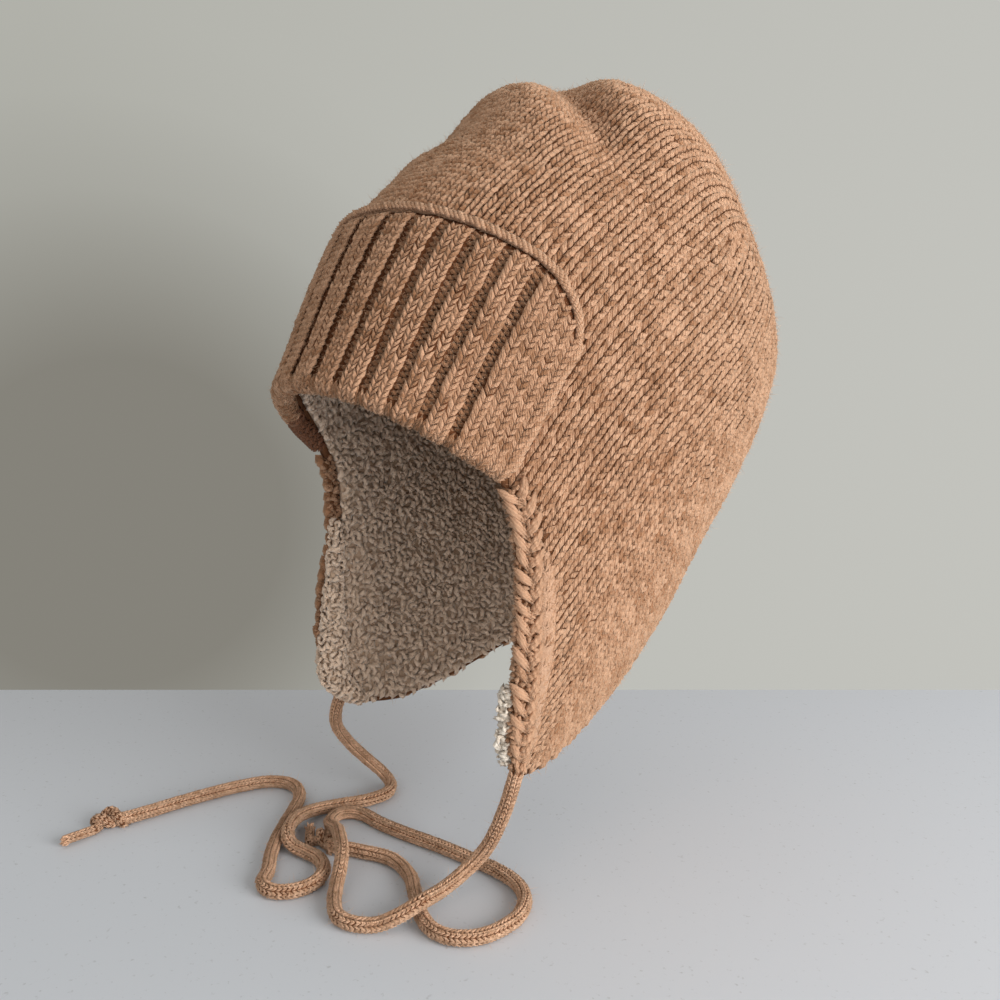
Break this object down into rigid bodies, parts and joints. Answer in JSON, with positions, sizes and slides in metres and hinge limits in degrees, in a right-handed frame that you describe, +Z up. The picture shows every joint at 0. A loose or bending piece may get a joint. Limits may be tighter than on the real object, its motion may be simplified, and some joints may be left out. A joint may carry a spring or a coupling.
{
  "type": "knitted earflap hat",
  "caption": "Knitted earflap hat in its worn form, with a turned-up rib cuff over the brow, a pile lining, chain-stitch face trim and knitted tie cords ending in knots.",
  "frame": {"origin": "top of the wearer's head, inside the hollow", "axes": "+Z up, the wearer faces -Y, the wearer's left is +X"},
  "size_m": [0.2126, 0.3437, 0.3591],
  "materials": {
    "camel_knit": "fuzzy stocking-stitch wool",
    "rib_knit": "fuzzy rib-knit wool",
    "cream_pile": "curly pile",
    "cord_knit": "fuzzy round knitted cord"
  },
  "bodies": {
    "root": {"crown_with_flaps": "camel_knit", "lining": "cream_pile", "front_cuff": "rib_knit", "cuff_edging": "camel_knit", "face_trim_left": "camel_knit", "face_trim_right": "camel_knit", "tie_cord_left": "cord_knit", "tie_cord_right": "cord_knit", "tie_knot_left": "cord_knit", "tie_knot_right": "cord_knit", "tie_tail_left": "cord_knit", "tie_tail_right": "cord_knit"}
  },
  "joints": []
}
